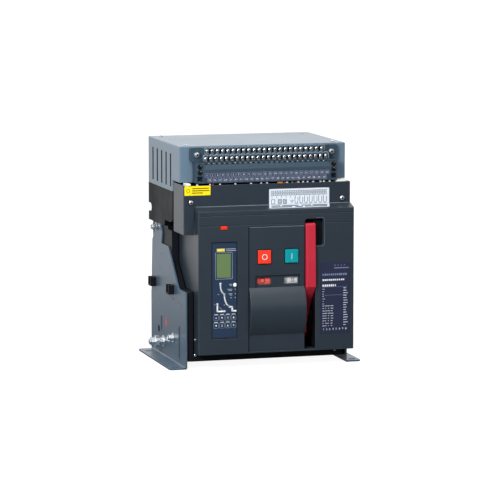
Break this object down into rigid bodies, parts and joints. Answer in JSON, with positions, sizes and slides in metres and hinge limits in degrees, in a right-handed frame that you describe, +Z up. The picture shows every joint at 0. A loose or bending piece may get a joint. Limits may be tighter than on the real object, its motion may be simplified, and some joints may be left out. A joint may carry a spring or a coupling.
{
  "type": "air circuit breaker",
  "caption": "Fixed-mounted three-pole low-voltage air circuit breaker with a spring-charging lever, push buttons, trip unit and arc hood.",
  "frame": {"origin": "centre of the overall box in X and Y, on the plane that the feet stand on", "axes": "+Z up, -Y out of the front face, +X to the right seen from the front"},
  "size_m": [0.362, 0.323, 0.402],
  "materials": {
    "black_moulding": "satin moulded thermoset",
    "hood_paint": "pale blue-grey paint",
    "plate_paint": "blue-grey powder paint",
    "cover_plastic": "fine texture",
    "panel_plastic": "fine texture",
    "block_plastic": "moulded",
    "facia_film": "printed film",
    "display": "lcd window",
    "red_plastic": "moulded",
    "off_red": "moulded",
    "on_teal": "moulded",
    "reset_red": "moulded",
    "flag_red": "moulded",
    "flag_white": "moulded",
    "zinc_steel": "zinc plated",
    "copper": "silver-flashed copper",
    "arc_case": "moulded thermoset",
    "coil_case": "moulded"
  },
  "bodies": {
    "breaker": {"side_plate_left": "plate_paint", "side_plate_right": "plate_paint", "base_front": "black_moulding", "base_rear": "black_moulding", "chute_housing": "black_moulding", "plate_clips": "black_moulding", "auxiliary_switch": "black_moulding", "arc_hood": "hood_paint", "arc_chute_left": "arc_case", "arc_chute_centre": "arc_case", "arc_chute_right": "arc_case", "splitter_plates": "zinc_steel", "mechanism_plate_left": "zinc_steel", "mechanism_plate_right": "zinc_steel", "mechanism_studs": "zinc_steel", "release_tray": "zinc_steel", "closing_spring": "zinc_steel", "contact_pivots": "zinc_steel", "plate_bolts": "zinc_steel", "earth_bolt": "zinc_steel", "terminal_block": "block_plastic", "upper_panel": "panel_plastic", "front_cover": "cover_plastic", "mechanism_fascia": "cover_plastic", "trip_unit_case": "coil_case", "charging_motor": "coil_case", "closing_coil": "coil_case", "shunt_trip_coil": "coil_case", "undervoltage_coil": "coil_case", "current_transformer_left": "coil_case", "current_transformer_centre": "coil_case", "current_transformer_right": "coil_case", "trip_unit_facia": "facia_film", "trip_unit_display": "display", "contact_braids": "copper", "upper_terminal_left": "copper", "upper_terminal_centre": "copper", "upper_terminal_right": "copper", "lower_terminal_left": "copper", "lower_terminal_centre": "copper", "lower_terminal_right": "copper"},
    "handle": {"charging_handle": "red_plastic", "drive_pawl": "zinc_steel"},
    "cam": {"camshaft": "zinc_steel", "ratchet_wheel": "zinc_steel"},
    "shaft": {"main_shaft": "zinc_steel"},
    "links": {"drive_links": "black_moulding"},
    "contacts": {"contact_carrier_left": "black_moulding", "contact_carrier_centre": "black_moulding", "contact_carrier_right": "black_moulding", "contact_fingers": "copper"},
    "on_push": {"on_button": "on_teal"},
    "off_push": {"off_button": "off_red"},
    "reset_push": {"reset_button": "reset_red"},
    "position_flag": {"contact_flag": "flag_red"},
    "spring_flag": {"charge_flag": "flag_white"},
    "closing_rod": {"closing_plunger": "zinc_steel"},
    "trip_rod": {"shunt_trip_plunger": "zinc_steel"},
    "undervoltage_rod": {"undervoltage_plunger": "zinc_steel"}
  },
  "joints": [
    {"name": "handle_pull", "type": "hinge", "parent": "breaker", "child": "handle", "pos_m": [0.0735, -0.088, 0.062], "axis": [1, 0, 0], "range_deg": [0, 75], "stiffness_Nm_per_rad": 0.4, "springref_deg": -22.92},
    {"name": "cam_turn", "type": "hinge", "parent": "breaker", "child": "cam", "pos_m": [0.01, -0.088, 0.062], "axis": [1, 0, 0], "range_deg": [0, 180], "deforming": ["closing_spring"]},
    {"name": "shaft_turn", "type": "hinge", "parent": "breaker", "child": "shaft", "pos_m": [0, -0.028, 0.11], "axis": [-1, 0, 0], "range_deg": [0, 22]},
    {"name": "link_swing", "type": "hinge", "parent": "shaft", "child": "links", "pos_m": [0, -0.03449, 0.14338], "axis": [-1, 0, 0], "range_deg": [-22, 0]},
    {"name": "contact_swing", "type": "hinge", "parent": "breaker", "child": "contacts", "pos_m": [0, 0.06, 0.11], "axis": [-1, 0, 0], "range_deg": [0, 22], "deforming": ["contact_braids"]},
    {"name": "on_press", "type": "slide", "parent": "breaker", "child": "on_push", "axis": [0, 1, 0], "range_m": [0, 0.004], "stiffness_N_per_m": 500, "springref_m": -0.003},
    {"name": "off_press", "type": "slide", "parent": "breaker", "child": "off_push", "axis": [0, 1, 0], "range_m": [0, 0.004], "stiffness_N_per_m": 500, "springref_m": -0.003},
    {"name": "reset_press", "type": "slide", "parent": "breaker", "child": "reset_push", "axis": [0, 1, 0], "range_m": [0, 0.003], "stiffness_N_per_m": 500, "springref_m": -0.003},
    {"name": "position_flag_turn", "type": "hinge", "parent": "breaker", "child": "position_flag", "pos_m": [-0.013, -0.1235, 0.16], "axis": [1, 0, 0], "range_deg": [0, 60]},
    {"name": "spring_flag_turn", "type": "hinge", "parent": "breaker", "child": "spring_flag", "pos_m": [0.038, -0.1235, 0.16], "axis": [1, 0, 0], "range_deg": [0, 60]},
    {"name": "closing_rod_slide", "type": "slide", "parent": "breaker", "child": "closing_rod", "axis": [0, 0, -1], "range_m": [0, 0.006], "stiffness_N_per_m": 500, "springref_m": -0.003},
    {"name": "trip_rod_slide", "type": "slide", "parent": "breaker", "child": "trip_rod", "axis": [0, 0, -1], "range_m": [0, 0.006], "stiffness_N_per_m": 500, "springref_m": -0.003},
    {"name": "undervoltage_rod_slide", "type": "slide", "parent": "breaker", "child": "undervoltage_rod", "axis": [0, 0, -1], "range_m": [0, 0.006], "stiffness_N_per_m": 500, "springref_m": -0.003}
  ],
  "couplings": [
    {"joint": "link_swing", "follows": "shaft_turn", "ratio": -1},
    {"joint": "contact_swing", "follows": "shaft_turn", "ratio": 1},
    {"joint": "position_flag_turn", "follows": "shaft_turn", "ratio": 2.7273},
    {"joint": "spring_flag_turn", "follows": "cam_turn", "ratio": 0.33333}
  ]
}
